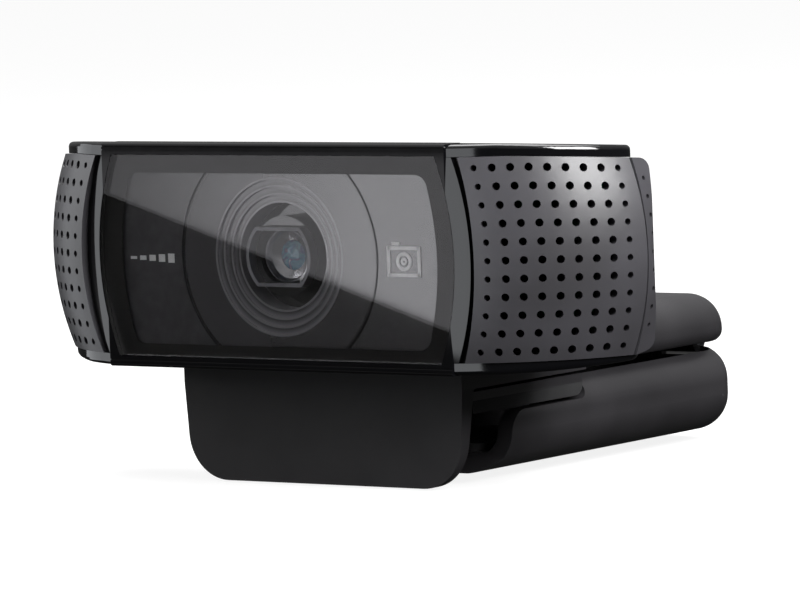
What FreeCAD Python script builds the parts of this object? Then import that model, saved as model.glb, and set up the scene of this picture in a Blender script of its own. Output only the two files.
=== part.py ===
"""Webcam head on a folding monitor clip: every piece is its own solid.

Frame: +Z up, the lens looks along -Y, and +X is to the right of someone who faces the lens.
The origin is under the middle of the whole object, at its lowest level.
"""
import FreeCAD, Part
import math
import os

import Sketcher

DOC = FreeCAD.newDocument("webcam")
V = FreeCAD.Vector

# ---------------------------------------------------------------- driving dimensions
SIZES = {
    # whole object
    "overall_depth": 71.0,
    "lens_height": 29.2,
    # head
    "head_width": 91.5,
    "head_height": 28.2,
    "head_depth": 24.0,
    "strip_height": 1.6,
    "side_bow": 34.5,
    "spine_bow": 33.2,
    "spine_turn": 15.0,
    "top_fall": 1.7,
    "bottom_fall": 1.3,
    "rear_taper": 1.3,
    "rear_bevel": 7.4,
    "tip_round": 3.0,
    "rear_round": 3.0,
    "housing_wall": 1.8,
    "shell_gap": 0.1,
    "cover_inset": 0.4,
    "cover_step": 0.05,
    "cover_round": 0.6,
    # grilles
    "grille_width": 15.25,
    "grille_wall": 1.5,
    "knee_inset": 4.3,
    "knee_depth": 4.29,
    "knee_round": 25.0,
    "seam_inset": 0.1,
    "seam_depth": 15.0,
    "hole_pitch": 2.237,
    "hole_radius": 0.5,
    "edge_hole_radius": 0.4,
    "vent_radius": 0.3,
    "first_hole": 1.65,
    "hole_rows": 11,
    # window and bezel
    "bezel_margin": 1.0,
    "bezel_depth": 3.5,
    "bezel_lip": 1.0,
    "bevel_fall": 0.68,
    "bevel_width": 1.9,
    "groove_depth": 1.2,
    "strip_margin": 3.9,
    "strip_groove": 0.16,
    "strip_round": 0.4,
    "window_margin": 2.0,
    "window_over": 0.2,
    "window_thickness": 1.2,
    "window_gap": 0.05,
    # face plate and lens surround
    "plate_margin": 2.9,
    "plate_above": 2.0,
    "plate_below": 1.2,
    "plate_depth": 1.7,
    "plate_thickness": 1.6,
    "plate_round": 1.8,
    "disc_radius": 15.0,
    "disc_seam": 0.3,
    "disc_thickness": 0.7,
    "ring_step": 0.3,
    "ring_outer": 9.66,
    "ring_pitch": 1.0,
    "recess_radius": 6.67,
    "recess_depth": 5.5,
    "tunnel_radius": 10.2,
    "tunnel_end": 6.3,
    "trim_radius": 5.0,
    "trim_flat": 3.7,
    "trim_wall": 0.45,
    "trim_front": 1.5,
    "collar_front": 2.95,
    # lens and focus drive
    "barrel_radius": 3.6,
    "barrel_front": 3.3,
    "barrel_end": 11.1,
    "lens_clearance": 0.2,
    "cone_radius": 2.9,
    "cone_depth": 4.05,
    "glass_radius": 1.86,
    "glass_depth": 4.6,
    "focus_room": 2.9,
    "focus_wall": 0.6,
    "focus_end": 12.6,
    "carrier_wall": 0.7,
    "coil_wall": 0.5,
    "magnet_thickness": 0.6,
    # boards
    "board_thickness": 1.0,
    "board_gap": 4.6,
    "board_room": 1.3,
    "post_room": 4.1,
    "post_gap": 3.6,
    "main_board_front": 14.0,
    "main_board_thickness": 1.2,
    # clip
    "clip_width": 43.4,
    "lip_setback": 8.65,
    "lip_thickness": 2.5,
    "lip_tip": 1.6,
    "lip_taper_end": 4.2,
    "lip_round": 6.0,
    "lip_narrowing": 0.8,
    "shelf_gap": 0.5,
    "shelf_thickness": 2.27,
    "arm_front": 31.5,
    "arm_height": 6.3,
    "arm_setback": 0.9,
    "arm_heel_round": 1.5,
    "arm_side_round": 4.5,
    "arm_wall": 2.2,
    "tab_end": 35.0,
    "tab_gap": 0.43,
    "tab_carrier": 1.1,
    "tab_rubber": 1.6,
    # tilt hinge
    "tilt_setback": 27.5,
    "tilt_drop": 12.0,
    "knuckle_radius": 2.3,
    "knuckle_half": 8.0,
    "lug_width": 4.7,
    "washer_gap": 0.3,
    "tilt_pin_radius": 1.0,
    "pin_clearance": 0.05,
    # leg
    "leg_wall": 2.2,
    "leg_round": 4.7,
    "leg_lift": 1.2,
    "leg_height": 11.1,
    "leg_ledge": 3.6,
    "leg_gap": 0.5,
    "leg_nose": 15.4,
    "leg_step": 35.7,
    "leg_heel_round": 4.0,
    "leg_pin_radius": 0.6,
    "leg_barrel": 1.5,
    "leg_pivot_inset": 2.0,
    "leg_hinge_half": 16.5,
    # tripod thread
    "insert_radius": 4.5,
    "insert_length": 5.5,
    "insert_bore": 3.175,
    "insert_setback": 43.0,
}


class Size:
    """A length that knows the spreadsheet formula it comes from."""

    def __init__(self, value, formula):
        self.value = value
        self.formula = formula

    @staticmethod
    def of(other):
        if isinstance(other, Size):
            return other
        return Size(float(other), repr(float(other)))

    def join(self, other, sign, value):
        return Size(value, "(" + self.formula + sign + other.formula + ")")

    def __add__(self, other):
        other = Size.of(other)
        return self.join(other, " + ", self.value + other.value)

    def __sub__(self, other):
        other = Size.of(other)
        return self.join(other, " - ", self.value - other.value)

    def __mul__(self, other):
        other = Size.of(other)
        return self.join(other, " * ", self.value * other.value)

    def __truediv__(self, other):
        other = Size.of(other)
        return self.join(other, " / ", self.value / other.value)

    def __radd__(self, other):
        return Size.of(other) + self

    def __rsub__(self, other):
        return Size.of(other) - self

    def __rmul__(self, other):
        return Size.of(other) * self

    def __neg__(self):
        return Size.of(0.0) - self

    def root(self):
        return Size(math.sqrt(self.value), "sqrt(" + self.formula + ")")


def make_sheet():
    """Puts every driving dimension in the spreadsheet and returns them as sizes."""
    sheet = DOC.addObject("Spreadsheet::Sheet", "Sizes")
    sizes = {}
    for row, (name, value) in enumerate(SIZES.items(), start=1):
        sheet.set("A%d" % row, name)
        sheet.set("B%d" % row, str(value))
        sheet.setAlias("B%d" % row, name)
        sizes[name] = Size(float(value), "Sizes." + name)
    DOC.recompute()
    return sizes


S = make_sheet()


def bind(thing, place, size):
    """Sets a property from a size, through its formula."""
    thing.setExpression(place, Size.of(size).formula)


# ---------------------------------------------------------------- places that many pieces share
HALF_DEPTH = S["overall_depth"] / 2
AXIS_LEVEL = S["lens_height"]
HEAD_HALF = S["head_height"] / 2
CORE_HALF = HEAD_HALF - S["strip_height"]
HEAD_SIDE = S["head_width"] / 2
GRILLE_HALF = HEAD_SIDE - S["grille_width"]
BEZEL_HALF = GRILLE_HALF - S["bezel_margin"]
STRIP_HALF = GRILLE_HALF - S["strip_margin"]
WINDOW_HALF = BEZEL_HALF - S["window_margin"]
PLATE_HALF = WINDOW_HALF - S["plate_margin"]
PLATE_TOP = CORE_HALF - S["plate_above"]
PLATE_BOTTOM = CORE_HALF - S["plate_below"]
CLIP_HALF = S["clip_width"] / 2
FOCUS_HALF = S["barrel_radius"] + S["focus_room"]
INSIDE_SIDE = HEAD_SIDE - S["housing_wall"]
INSIDE_HALF = CORE_HALF - S["housing_wall"]


def depth(amount):
    """A place behind the window's front plane."""
    return Size.of(amount) - HALF_DEPTH


def level(amount):
    """A place above the lens axis."""
    return AXIS_LEVEL + amount


def bow_inset(height):
    """How far the bowed sides come in at a height above or below the lens axis."""
    return S["side_bow"] - (S["side_bow"] * S["side_bow"] - height * height).root()


# ---------------------------------------------------------------- plan outline of the head's sides
KNEE_SIDE = HEAD_SIDE - S["knee_inset"]
FRONT_SLOPE = S["knee_depth"] / (S["grille_width"] - S["knee_inset"])
FRONT_SLANT = (FRONT_SLOPE * FRONT_SLOPE + 1).root()
SIDE_SLOPE = (S["knee_inset"] - S["seam_inset"]) / (S["seam_depth"] - S["knee_depth"])
SIDE_SLANT = (SIDE_SLOPE * SIDE_SLOPE + 1).root()
SPINE_LEAN = Size(math.tan(math.radians(S["spine_turn"].value)), "tan(Sizes.spine_turn)")
MITRE = math.sqrt(2) - 1


def front_flank(x, inset):
    """Depth of the front flank at a place across, moved inwards by an inset."""
    return FRONT_SLOPE * (Size.of(x) - GRILLE_HALF) + FRONT_SLANT * inset


def side_flank(back, inset):
    """Place across of the side flank at a depth, moved inwards by an inset."""
    return KNEE_SIDE + SIDE_SLOPE * (Size.of(back) - S["knee_depth"]) - SIDE_SLANT * inset


def knee(inset):
    """Where the two flanks meet, moved inwards by an inset: across and depth."""
    offset = SIDE_SLOPE * (FRONT_SLANT * inset - FRONT_SLOPE * GRILLE_HALF)
    across = (side_flank(0, inset) + offset) / (1 - FRONT_SLOPE * SIDE_SLOPE)
    return across, front_flank(across, inset)


def rear_corners(inset, drop):
    """The bevelled rear corner on the right, moved inwards, its side also in by a drop."""
    side, back = HEAD_SIDE - drop, S["head_depth"]
    bevel = S["rear_bevel"] + MITRE * Size.of(inset)
    return [(side - inset, depth(back - bevel), S["tip_round"] - inset),
            (side - bevel, depth(back - inset), S["rear_round"] - inset)]


TOP_SLOPE = S["top_fall"] / (S["head_depth"] - S["bezel_depth"])


def top_drop(back):
    """How far the seat of the top cover has fallen at a depth behind the bezel."""
    return TOP_SLOPE * (Size.of(back) - S["bezel_depth"])


def both_sides(right):
    """The right half of an outline and its mirror image."""
    return right + [(-c[0],) + tuple(c[1:]) for c in reversed(right)]


# ---------------------------------------------------------------- sketches and features
PLANES = {"XY": "XY_Plane", "XZ": "XZ_Plane", "YZ": "YZ_Plane"}


def new_body(label):
    body = DOC.addObject("PartDesign::Body", label)
    body.Label = label
    return body


def new_sketch(body, plane, offset):
    """A sketch parallel to one of the body's own planes, at an offset along its normal."""
    sketch = body.newObject("Sketcher::SketchObject", body.Name + "_sketch")
    support = [item for item in body.Origin.OriginFeatures if item.Role == PLANES[plane]][0]
    sketch.AttachmentSupport = [(support, "")]
    sketch.MapMode = "FlatFace"
    bind(sketch, "AttachmentOffset.Base.z", offset)
    return sketch


def pin_point(sketch, geometry, end, x, y):
    """Holds one point of a sketch at two sizes from the sketch's origin."""
    for kind, size in (("DistanceX", x), ("DistanceY", y)):
        size = Size.of(size)
        index = sketch.addConstraint(Sketcher.Constraint(kind, -1, 1, geometry, end, size.value))
        sketch.setExpression("Constraints[%d]" % index, size.formula)


def hold_radius(sketch, geometry, radius):
    radius = Size.of(radius)
    index = sketch.addConstraint(Sketcher.Constraint("Radius", geometry, radius.value))
    sketch.setExpression("Constraints[%d]" % index, radius.formula)


def draw_outline(sketch, corners):
    """A closed outline of straight runs; a corner given a radius is rounded by a tangent arc."""
    points = [V(Size.of(c[0]).value, Size.of(c[1]).value, 0) for c in corners]
    radii = [Size.of(c[2]).value if len(c) > 2 else 0.0 for c in corners]
    count = len(points)
    entry, leave, centre, turn = [], [], [], []
    for i in range(count):
        before = (points[i] - points[i - 1]).normalize()
        after = (points[(i + 1) % count] - points[i]).normalize()
        cross = before.x * after.y - before.y * after.x
        angle = math.atan2(abs(cross), before.dot(after))
        reach = radii[i] * math.tan(angle / 2)
        entry.append(points[i] - before * reach)
        leave.append(points[i] + after * reach)
        side = 1 if cross > 0 else -1
        centre.append(entry[i] + V(-before.y, before.x, 0) * (radii[i] * side))
        turn.append(side)
    lines = []
    for i in range(count):
        end = entry[(i + 1) % count]
        lines.append(sketch.addGeometry(Part.LineSegment(leave[i], end), False))
    for i in range(count):
        line_in, line_out = lines[i - 1], lines[i]
        if radii[i] == 0:
            sketch.addConstraint(Sketcher.Constraint("Coincident", line_in, 2, line_out, 1))
            pin_point(sketch, line_out, 1, corners[i][0], corners[i][1])
            continue
        first, last = (entry[i], leave[i]) if turn[i] > 0 else (leave[i], entry[i])
        start = math.atan2(first.y - centre[i].y, first.x - centre[i].x)
        stop = math.atan2(last.y - centre[i].y, last.x - centre[i].x)
        if stop < start:
            stop += 2 * math.pi
        circle = Part.Circle(centre[i], V(0, 0, 1), radii[i])
        arc = sketch.addGeometry(Part.ArcOfCircle(circle, start, stop), False)
        near, far = (1, 2) if turn[i] > 0 else (2, 1)
        sketch.addConstraint(Sketcher.Constraint("Tangent", line_in, 2, arc, near))
        sketch.addConstraint(Sketcher.Constraint("Tangent", arc, far, line_out, 1))
        hold_radius(sketch, arc, corners[i][2])
        mark = sketch.addGeometry(Part.Point(points[i]), True)
        sketch.addConstraint(Sketcher.Constraint("PointOnObject", mark, 1, line_in))
        sketch.addConstraint(Sketcher.Constraint("PointOnObject", mark, 1, line_out))
        pin_point(sketch, mark, 1, corners[i][0], corners[i][1])


def draw_circle(sketch, x, y, radius):
    centre = V(Size.of(x).value, Size.of(y).value, 0)
    circle = Part.Circle(centre, V(0, 0, 1), Size.of(radius).value)
    index = sketch.addGeometry(circle, False)
    hold_radius(sketch, index, radius)
    pin_point(sketch, index, 3, x, y)


def draw_bowed(sketch, half_width, bottom, top):
    """A front outline with level top and bottom and bowed sides."""
    radius = S["side_bow"]
    half, low, high = Size.of(half_width), level(-Size.of(bottom)), level(Size.of(top))
    middle = AXIS_LEVEL.value
    arcs = []
    for side in (1, -1):
        centre = V(side * (half.value - radius.value), middle, 0)
        first = math.asin((low.value - middle) / radius.value)
        last = math.asin((high.value - middle) / radius.value)
        if side < 0:
            first, last = math.pi - last, math.pi - first
        circle = Part.Circle(centre, V(0, 0, 1), radius.value)
        index = sketch.addGeometry(Part.ArcOfCircle(circle, first, last), False)
        hold_radius(sketch, index, radius)
        pin_point(sketch, index, 3, side * (half - radius), AXIS_LEVEL)
        for end, size in ((1, low if side > 0 else high), (2, high if side > 0 else low)):
            row = sketch.addConstraint(Sketcher.Constraint("DistanceY", -1, 1, index, end, size.value))
            sketch.setExpression("Constraints[%d]" % row, size.formula)
        arcs.append(sketch.Geometry[index])
    right, left = arcs
    top_line = sketch.addGeometry(Part.LineSegment(right.EndPoint, left.StartPoint), False)
    low_line = sketch.addGeometry(Part.LineSegment(left.EndPoint, right.StartPoint), False)
    for pair in ((0, 2, top_line, 1), (top_line, 2, 1, 1), (1, 2, low_line, 1), (low_line, 2, 0, 1)):
        sketch.addConstraint(Sketcher.Constraint("Coincident", *pair))


def plane_offset(plane, place):
    """Offset along a plane's normal for a place on the axis it faces; XZ faces -Y."""
    return -Size.of(place) if plane == "XZ" else Size.of(place)


def solve(sketch):
    if sketch.solve() != 0:
        raise RuntimeError("sketch not solved: " + sketch.Name)


def pad(body, plane, low, high, draw, *shape):
    """Adds what a sketch bounds between two places along its axis."""
    start = high if plane == "XZ" else low
    sketch = new_sketch(body, plane, plane_offset(plane, start))
    draw(sketch, *shape)
    solve(sketch)
    feature = body.newObject("PartDesign::Pad", body.Name + "_pad")
    feature.Profile = sketch
    bind(feature, "Length", Size.of(high) - low)
    body.Tip = feature
    DOC.recompute()
    return feature


def pocket(body, plane, low, high, draw, *shape):
    """Takes away what a sketch bounds between two places along its axis."""
    before = body.Shape.Volume
    start = low if plane == "XZ" else high
    sketch = new_sketch(body, plane, plane_offset(plane, start))
    draw(sketch, *shape)
    solve(sketch)
    feature = body.newObject("PartDesign::Pocket", body.Name + "_pocket")
    feature.Profile = sketch
    bind(feature, "Length", Size.of(high) - low)
    body.Tip = feature
    DOC.recompute()
    if body.Shape.Volume > before - 1e-6:
        raise RuntimeError("pocket cut nothing in " + body.Label)
    return feature


def slab(label, plane, low, high, draw, *shape):
    body = new_body(label)
    pad(body, plane, low, high, draw, *shape)
    return body


def turned(label, corners):
    """A round piece about the lens axis; corners are (radius, place along Y)."""
    body = new_body(label)
    sketch = new_sketch(body, "XY", AXIS_LEVEL)
    draw_outline(sketch, corners)
    solve(sketch)
    feature = body.newObject("PartDesign::Revolution", label + "_turn")
    feature.Profile = sketch
    feature.ReferenceAxis = (sketch, ["V_Axis"])
    feature.Angle = 360
    body.Tip = feature
    DOC.recompute()
    return body


def edges_where(shape, test):
    """Names of the edges whose middle point and direction pass a test."""
    names = []
    for number, edge in enumerate(shape.Edges, start=1):
        if edge.Length < 1e-6:
            continue
        middle = edge.valueAt((edge.FirstParameter + edge.LastParameter) / 2)
        ends = edge.Vertexes[-1].Point - edge.Vertexes[0].Point
        if test(middle, ends):
            names.append("Edge%d" % number)
    if not names:
        raise RuntimeError("no edge to dress")
    return names


def dress(body, kind, size, test, size_name):
    """Rounds or chamfers the edges of a body that pass a test."""
    base = body.Tip
    names = edges_where(base.Shape, test)
    feature = body.newObject("PartDesign::" + kind, body.Name + "_" + kind.lower())
    feature.Base = (base, names)
    bind(feature, size_name, size)
    body.Tip = feature
    DOC.recompute()
    if not feature.isValid():
        raise RuntimeError("%s failed on %s: %s" % (kind, body.Label, names))
    return feature


def fillet(body, radius, test):
    return dress(body, "Fillet", radius, test, "Radius")


def near(value, size, margin=0.02):
    return abs(value - Size.of(size).value) < margin


# ---------------------------------------------------------------- primitives and booleans
AXES = {"X": FreeCAD.Rotation(V(0, 1, 0), 90), "Y": FreeCAD.Rotation(V(1, 0, 0), -90),
        "Z": FreeCAD.Rotation()}


def place(item, x, y, z):
    for name, size in (("x", x), ("y", y), ("z", z)):
        bind(item, "Placement.Base." + name, size)
    return item


def rod(axis, x, y, z, radius, length):
    """A cylinder that starts at a point and runs along +X, +Y or +Z."""
    item = DOC.addObject("Part::Cylinder", "rod")
    bind(item, "Radius", radius)
    bind(item, "Height", length)
    item.Placement = FreeCAD.Placement(V(), AXES[axis])
    return place(item, x, y, z)


def block(low, high):
    """A box between two corners."""
    item = DOC.addObject("Part::Box", "block")
    for name, a, b in zip(("Length", "Width", "Height"), low, high):
        bind(item, name, Size.of(b) - a)
    return place(item, *low)


def merge(label, items):
    item = DOC.addObject("Part::MultiFuse", label)
    item.Shapes = items
    item.Refine = True
    item.Label = label
    DOC.recompute()
    return item


def gather(label, items):
    item = DOC.addObject("Part::Compound", label)
    item.Links = items
    item.Label = label
    DOC.recompute()
    return item


def remove(label, base, tools):
    tool = tools[0] if len(tools) == 1 else gather(label + "_tools", tools)
    DOC.recompute()
    before = base.Shape.Volume
    item = DOC.addObject("Part::Cut", label)
    item.Base = base
    item.Tool = tool
    item.Label = label
    DOC.recompute()
    if item.Shape.Volume > before - 1e-6:
        raise RuntimeError("cut nothing from " + label)
    return item


def overlap(label, items):
    """What several solids have in common."""
    item = DOC.addObject("Part::MultiCommon", label)
    item.Shapes = items
    item.Label = label
    DOC.recompute()
    if item.Shape.Volume < 1e-6:
        raise RuntimeError("nothing in common: " + label)
    return item


def soften(label, base, radius, test):
    """Rounds the edges of a finished solid that pass a test."""
    size = Size.of(radius).value
    numbers = [int(name[4:]) for name in edges_where(base.Shape, test)]
    item = DOC.addObject("Part::Fillet", label)
    item.Base = base
    item.Edges = [(number, size, size) for number in numbers]
    item.Label = label
    DOC.recompute()
    return item


def mirrored(label, source):
    item = DOC.addObject("Part::Mirroring", label)
    item.Source = source
    item.Normal = V(1, 0, 0)
    item.Base = V(0, 0, 0)
    item.Label = label
    DOC.recompute()
    return item


NODES = []


def keep(item):
    """Marks a finished piece as a node of its own."""
    NODES.append(item)
    return item


def screw(x, y, z, head_radius, head_height, shank_radius, shank_length):
    """A pan-head screw driven along -Y, its head's underside at y."""
    drive = block((Size.of(x) - head_radius * 0.6, Size.of(y) + head_height * 0.5, Size.of(z) - 0.2),
                  (Size.of(x) + head_radius * 0.6, Size.of(y) + head_height + 0.1, Size.of(z) + 0.2))
    head = rod("Y", x, y, z, head_radius, head_height)
    shank = rod("Y", x, Size.of(y) - shank_length, z, shank_radius, shank_length + 0.1)
    return remove("screw", merge("screw_blank", [head, shank]), [drive])


# ---------------------------------------------------------------- head: window and bezel
def make_bezel():
    """Black frame round the window, with strips above and below and a flange beside the grilles."""
    front, back = depth(0), depth(S["bezel_depth"])
    strip = STRIP_HALF
    body = slab("front_bezel", "XZ", front, back, draw_bowed, BEZEL_HALF, CORE_HALF, CORE_HALF)

    def slanted(middle, ends):
        return abs(middle.x) > strip.value and near(middle.y, front) and abs(ends.x) < 0.1

    base = body.Tip
    bevel = body.newObject("PartDesign::Chamfer", "front_bezel_bevel")
    bevel.Base = (base, edges_where(base.Shape, slanted))
    bevel.ChamferType = "Two distances"
    bind(bevel, "Size", S["bevel_fall"])
    bind(bevel, "Size2", S["bevel_width"])
    body.Tip = bevel
    DOC.recompute()
    pad(body, "XZ", front, back, draw_outline, bar(strip, level(-HEAD_HALF), level(HEAD_HALF)))

    def strip_edge(middle, ends):
        height = abs(middle.z - AXIS_LEVEL.value)
        return near(middle.y, front) and near(height, HEAD_HALF) and abs(ends.x) > strip.value

    fillet(body, S["strip_round"], strip_edge)
    pad(body, "XZ", depth(S["groove_depth"]), back, draw_bowed,
        GRILLE_HALF - S["shell_gap"], CORE_HALF, CORE_HALF)
    tall = CORE_HALF + S["window_over"]
    seat = S["window_thickness"] + S["window_gap"] * 2
    pocket(body, "XZ", front, depth(seat), draw_bowed, WINDOW_HALF, tall, tall)
    lip = S["bezel_lip"]
    pocket(body, "XZ", depth(seat), back, draw_bowed, WINDOW_HALF - lip, tall - lip, tall - lip)
    fine = S["strip_groove"]
    strip_face = HEAD_HALF - tall
    for share in (1 / 3, 2 / 3):
        for low in (tall + strip_face * share, -tall - strip_face * share - fine):
            pocket(body, "XZ", front, front + fine, draw_outline, bar(strip, level(low), level(low + fine)))
    keep(body)


def bar(half, low, high):
    """A rectangle centred across."""
    return [(-half, low), (half, low), (half, high), (-half, high)]


def make_window():
    gap = S["window_gap"]
    tall = CORE_HALF + S["window_over"] - gap
    front = depth(gap)
    keep(slab("window_pane", "XZ", front, front + S["window_thickness"], draw_bowed,
              WINDOW_HALF - gap, tall, tall))


def make_face_plate():
    """Rounded plate behind the window, with a round seat for the lens surround."""
    front = depth(S["plate_depth"])
    back = front + S["plate_thickness"]
    body = slab("face_plate", "XZ", front, back, draw_bowed, PLATE_HALF, PLATE_BOTTOM, PLATE_TOP)
    fillet(body, S["plate_round"], lambda middle, ends: abs(ends.y) > 1)
    seat = S["disc_radius"] + S["disc_seam"]
    pocket(body, "XZ", front, front + S["disc_thickness"] + 0.1, draw_circle, 0, AXIS_LEVEL, seat)
    pocket(body, "XZ", front, back, draw_circle, 0, AXIS_LEVEL, S["tunnel_radius"] + 0.2)
    keep(body)


def make_lens_disc():
    """Round surround: stepped rings fall away to a recess, where a collar stands round the lens."""
    front = depth(S["plate_depth"])
    step, ring, wide = S["ring_step"], S["ring_outer"], S["ring_pitch"]
    recess, floor = depth(S["recess_depth"]), depth(S["tunnel_end"])
    collar, collar_front = S["trim_radius"], depth(S["collar_front"])
    bore = S["barrel_radius"] + S["lens_clearance"]
    corners = [(S["disc_radius"], front)]
    for number in range(3):
        corners.append((ring - wide * number, front + step * number))
        corners.append((ring - wide * number, front + step * (number + 1)))
    corners += [(S["recess_radius"], front + step * 3), (S["recess_radius"], recess),
                (collar, recess), (collar, collar_front), (bore, collar_front),
                (bore, floor), (S["tunnel_radius"], floor),
                (S["tunnel_radius"], front + S["disc_thickness"]),
                (S["disc_radius"], front + S["disc_thickness"])]
    body = turned("lens_disc", corners)
    wide = S["disc_radius"] + 1
    for low, high in ((level(PLATE_TOP), level(wide)), (level(-wide), level(-PLATE_BOTTOM))):
        pocket(body, "XZ", front, floor, draw_outline, bar(wide, low, high))
    keep(body)


def flattened(label, radius, flat, low, high):
    """A short rod along the lens axis with flats above and below."""
    return overlap(label, [rod("Y", 0, low, AXIS_LEVEL, radius, high - low),
                           block((-radius, low, level(-flat)), (radius, high, level(flat)))])


def make_lens_ring():
    """Bright trim round the lens: a thin frame with flats above and below."""
    front, back = depth(S["trim_front"]), depth(S["collar_front"])
    radius, flat, wall = S["trim_radius"], S["trim_flat"], S["trim_wall"]
    outside = flattened("ring_outside", radius, flat, front, back)
    inside = flattened("ring_inside", radius - wall, flat - wall, front - 1, back + 1)
    keep(remove("lens_ring", outside, [inside]))


# ---------------------------------------------------------------- head: grilles, covers, housing
def make_grilles():
    """Perforated side panels: the plan outline swept along the bow of the side."""
    wall, seam = S["grille_wall"], S["seam_depth"]
    overrun = 1.0
    end = seam + overrun
    outer_knee, inner_knee = knee(0), knee(wall)
    body = new_body("grille_blank")
    profile = new_sketch(body, "XY", AXIS_LEVEL)
    draw_outline(profile, [
        (GRILLE_HALF, depth(0)), (outer_knee[0], depth(outer_knee[1]), S["knee_round"]),
        (side_flank(end, 0), depth(end)), (side_flank(end, wall), depth(end)),
        (inner_knee[0], depth(inner_knee[1]), S["knee_round"] - wall),
        (GRILLE_HALF, depth(front_flank(GRILLE_HALF, wall)))])
    solve(profile)
    spine = new_sketch(body, "XZ", -depth(0))
    spine.AttachmentOffset = FreeCAD.Placement(V(0, 0, -depth(0).value),
                                               FreeCAD.Rotation(V(0, 1, 0), -S["spine_turn"].value))
    radius = S["spine_bow"]
    sweep = math.asin(CORE_HALF.value / radius.value)
    circle = Part.Circle(V(0, AXIS_LEVEL.value, 0), V(0, 0, 1), radius.value)
    arc = spine.addGeometry(Part.ArcOfCircle(circle, -sweep, sweep), False)
    hold_radius(spine, arc, radius)
    pin_point(spine, arc, 3, 0, AXIS_LEVEL)
    for end, size in ((1, level(-CORE_HALF)), (2, level(CORE_HALF))):
        row = spine.addConstraint(Sketcher.Constraint("DistanceY", -1, 1, arc, end, size.value))
        spine.setExpression("Constraints[%d]" % row, size.formula)
    solve(spine)
    pipe = body.newObject("PartDesign::AdditivePipe", "grille_pipe")
    pipe.Profile = profile
    pipe.Spine = (spine, [])
    pipe.Mode = "Fixed"
    body.Tip = pipe
    DOC.recompute()
    wide, tall = HEAD_SIDE + overrun, CORE_HALF + overrun
    pocket(body, "XZ", depth(seam), depth(seam + overrun * 4), draw_outline,
           bar(wide, level(-tall), level(tall)))
    pocket(body, "YZ", -wide, wide, draw_outline,
           [(depth(S["bezel_depth"]), level(CORE_HALF)),
            (depth(S["head_depth"]), level(CORE_HALF - S["top_fall"])),
            (depth(S["head_depth"]), level(tall)), (depth(S["bezel_depth"]), level(tall))])
    right = DOC.addObject("Part::Feature", "grille_right")
    right.Label = "grille_right"
    right.Shape = body.Shape.cut(perforations())
    keep(right)
    keep(mirrored("grille_left", right))


def perforations():
    """Sound holes of the right grille: columns follow the bow, and the rows fan with the top's fall."""
    pitch, rows = S["hole_pitch"].value, int(S["hole_rows"].value)
    wall, knee_round = S["grille_wall"].value, S["knee_round"].value
    slope, flank = math.atan(FRONT_SLOPE.value), math.atan2(1, SIDE_SLOPE.value)
    along, outward = V(math.cos(slope), math.sin(slope), 0), V(math.sin(slope), -math.cos(slope), 0)
    start = V(GRILLE_HALF.value, depth(0).value, AXIS_LEVEL.value)
    length = (KNEE_SIDE - GRILLE_HALF).value / math.cos(slope)
    straight = length - knee_round * math.tan((flank - slope) / 2)
    centre = start + along * straight - outward * knee_round
    bow, turn = S["spine_bow"].value, math.radians(S["spine_turn"].value)
    first, last = S["first_hole"].value, straight + knee_round * (flank - slope)
    columns = int((last - first) / pitch) + 1
    tools = []
    for column in range(columns):
        angle = max(0.0, (first + pitch * column - straight) / knee_round)
        way = FreeCAD.Rotation(V(0, 0, 1), math.degrees(angle)).multVec(outward)
        spot = centre + way * knee_round
        size = S["edge_hole_radius" if column in (0, columns - 1) else "hole_radius"].value
        for row in range(rows):
            height = (row - (rows - 1) / 2) * pitch
            inward = bow - math.sqrt(bow * bow - height * height)
            behind = max(0.0, spot.y - depth(S["bezel_depth"]).value)
            fall = TOP_SLOPE.value * behind * row / (rows - 1)
            shift = V(-inward * math.cos(turn), inward * math.sin(turn), height - fall)
            foot = spot + shift - way * (wall + 0.5)
            tools.append(Part.makeCylinder(size, wall + 1.0, foot, way))
    return tools


def make_covers():
    """Gloss covers over the top and under the bottom of the head, falling away to the rear."""
    inset, strip = S["cover_inset"], STRIP_HALF + S["shell_gap"] / 2
    drop = bow_inset(CORE_HALF)
    lean = drop * SPINE_LEAN
    notch = depth(S["bezel_depth"] + S["shell_gap"] / 2)
    nose = depth(front_flank(strip + drop, inset) + lean)
    across, back = knee(inset)
    rounding = S["knee_round"] - 2.5
    plan = both_sides([(strip, notch), (strip, nose), (across - drop, depth(back + lean), rounding)]
                      + rear_corners(inset, drop))
    outer = HEAD_HALF - S["cover_step"]
    seat = CORE_HALF + S["shell_gap"] / 2
    start, bend, end = depth(-1), depth(S["bezel_depth"]), depth(S["head_depth"])
    covers = (("top_cover", 1, bend, S["top_fall"], S["top_fall"]),
              ("bottom_cover", -1, depth(S["seam_depth"]), S["rear_taper"], S["bottom_fall"]))
    for label, side, turn, seat_fall, fall in covers:
        profile = [(start, level(seat * side)), (turn, level(seat * side)),
                   (end, level((seat - seat_fall) * side)), (end, level((outer - fall) * side)),
                   (bend, level(outer * side)), (start, level(outer * side))]
        low, high = level(-HEAD_HALF), level(HEAD_HALF)
        blank = overlap(label + "_blank", [slab(label + "_plan", "XY", low, high, draw_outline, plan),
                                           slab(label + "_side", "YZ", -HEAD_SIDE, HEAD_SIDE,
                                                draw_outline, profile)])

        def rim(middle, ends):
            share = (middle.y - bend.value) / (end.value - bend.value)
            outside = level((outer - fall * max(0.0, share)) * side)
            return near(middle.z, outside) and middle.y > start.value + 1.1 and not near(middle.y, notch)

        keep(soften(label, blank, S["cover_round"], rim))


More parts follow.
